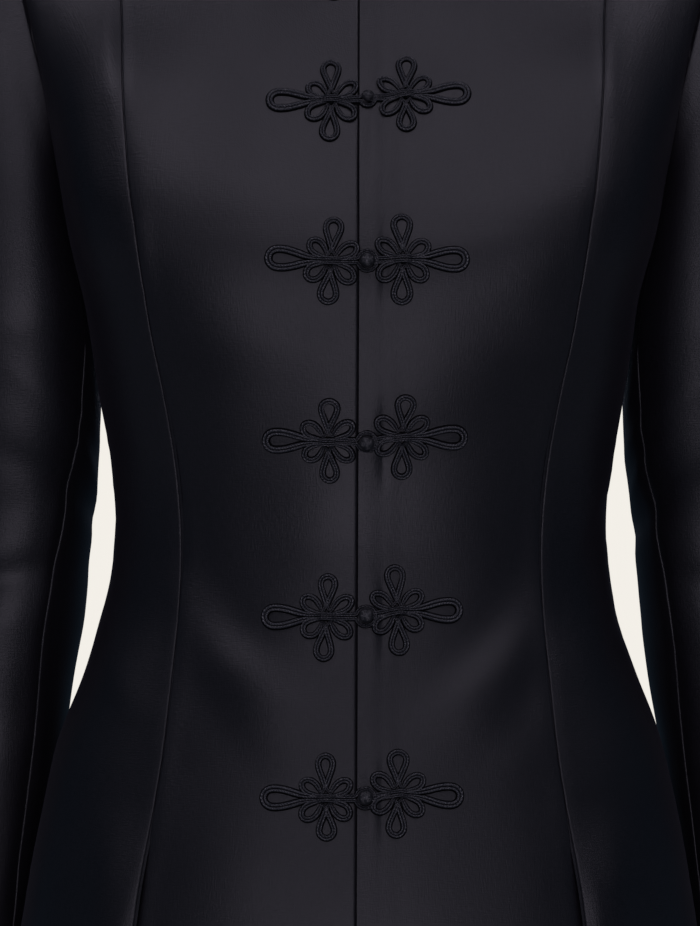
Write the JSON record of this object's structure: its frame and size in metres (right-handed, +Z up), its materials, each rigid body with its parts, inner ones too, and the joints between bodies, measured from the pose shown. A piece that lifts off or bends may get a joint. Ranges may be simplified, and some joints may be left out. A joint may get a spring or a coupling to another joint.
{
  "type": "tang jacket",
  "caption": "Fitted, worn-shape satin jacket with princess seams, two-piece sleeves, a stand collar and looped braid frogs with ball knots.",
  "frame": {"origin": "between the shoulders, level with the inner ends of the shoulder seams, where the wearer's shoulders hold the jacket up", "axes": "+Z up, the fronts face -Y, +X towards the viewer's right"},
  "size_m": [0.5517, 0.2647, 0.7305],
  "materials": {
    "satin": "black satin with a soft sheen",
    "soutache": "black twisted braid",
    "knot_cloth": "black knotted cord"
  },
  "bodies": {
    "root": {"front_left": "satin", "front_right": "satin", "side_front_left": "satin", "side_front_right": "satin", "side_back_left": "satin", "side_back_right": "satin", "back_left": "satin", "back_right": "satin", "sleeve_upper_left": "satin", "sleeve_upper_right": "satin", "sleeve_under_left": "satin", "sleeve_under_right": "satin", "collar": "satin", "frog_loop_1": "soutache", "frog_loop_2": "soutache", "frog_loop_3": "soutache", "frog_loop_4": "soutache", "frog_loop_5": "soutache", "frog_loop_6": "soutache", "frog_knot_1": "soutache", "frog_knot_2": "soutache", "frog_knot_3": "soutache", "frog_knot_4": "soutache", "frog_knot_5": "soutache", "frog_knot_6": "soutache", "knot_1": "knot_cloth", "knot_2": "knot_cloth", "knot_3": "knot_cloth", "knot_4": "knot_cloth", "knot_5": "knot_cloth", "knot_6": "knot_cloth"}
  },
  "joints": []
}
